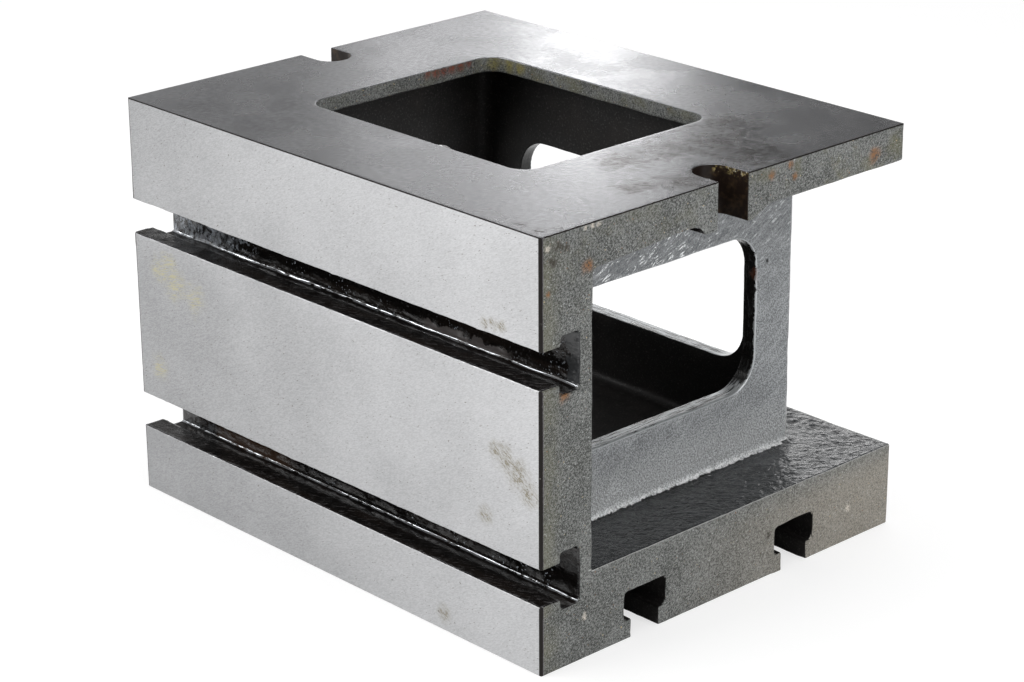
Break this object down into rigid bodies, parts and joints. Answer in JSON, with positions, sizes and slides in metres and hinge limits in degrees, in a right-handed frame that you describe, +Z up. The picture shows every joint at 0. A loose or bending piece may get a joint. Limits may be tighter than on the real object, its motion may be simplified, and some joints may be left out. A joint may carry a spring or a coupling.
{
  "type": "machinist box",
  "caption": "Hollow cast-iron box with a ground top plate, side windows, bolt notches, and T-slots across its front and underside.",
  "frame": {"origin": "centre of the underside, at floor height, below the middle of the bounding box", "axes": "+X along the slotted front face, to the right as seen from the front; +Y from the front face to the rear; +Z up to the top plate"},
  "size_m": [0.423, 0.345, 0.3],
  "materials": {
    "ground_iron": "ground, fine diagonal grain",
    "ground_top": "ground, satin, lightly stained",
    "cast_end": "rough as cast, grey wash",
    "grey_paint": "silver-grey paint over sand-cast skin",
    "slot_paint": "glossy black paint with drips"
  },
  "bodies": {
    "root": {"front_upper_band": "ground_iron", "front_middle_band": "ground_iron", "front_lower_band": "ground_iron", "front_web": "slot_paint", "base_front_rail": "cast_end", "base_middle_rail": "cast_end", "base_rear_rail": "cast_end", "base_floor": "slot_paint", "left_wall": "grey_paint", "right_wall": "grey_paint", "rear_wall": "grey_paint", "top_window_frame": "ground_top", "top_left_flange": "ground_top", "top_right_flange": "ground_top", "top_rear_flange": "ground_top", "left_notch_pad": "cast_end", "right_notch_pad": "cast_end"}
  },
  "joints": []
}
